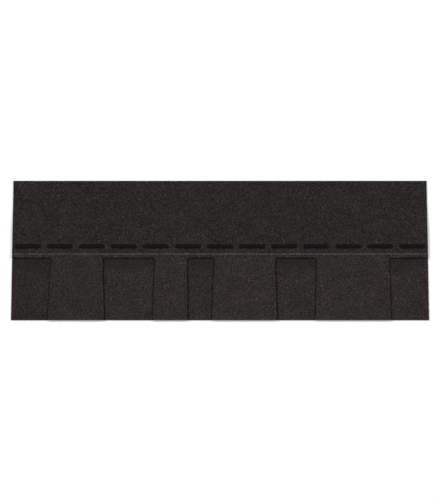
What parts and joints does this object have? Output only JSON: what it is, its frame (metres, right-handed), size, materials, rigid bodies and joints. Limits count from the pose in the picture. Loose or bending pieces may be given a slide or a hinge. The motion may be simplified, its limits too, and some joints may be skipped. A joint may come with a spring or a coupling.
{
  "type": "laminated asphalt shingle",
  "caption": "Flat roofing shingle with an irregular row of wide granule-faced teeth glued over a plain backing strip, laid in overlapping courses to shed rain.",
  "frame": {"origin": "on the floor, below the middle of the shingle's outline", "axes": "+X along the shingle, +Y up the roof from the butt edge to the top edge, +Z out of the weather side"},
  "size_m": [1, 0.337, 0.0064],
  "materials": {
    "granule_sheet": "rough charcoal mineral granules pressed into asphalt",
    "granule_backing": "rough charcoal mineral granules, a little darker than the teeth",
    "laminating_bitumen": "black bitumen, smooth and slightly glossy",
    "sealant_bitumen": "black tacky bitumen, smooth and glossy",
    "release_film": "thin translucent polyester tape, smooth"
  },
  "bodies": {
    "root": {"toothed_sheet": "granule_sheet", "backing_strip": "granule_backing", "laminating_adhesive": "laminating_bitumen", "sealant_strip": "sealant_bitumen", "release_film": "release_film"}
  },
  "joints": []
}
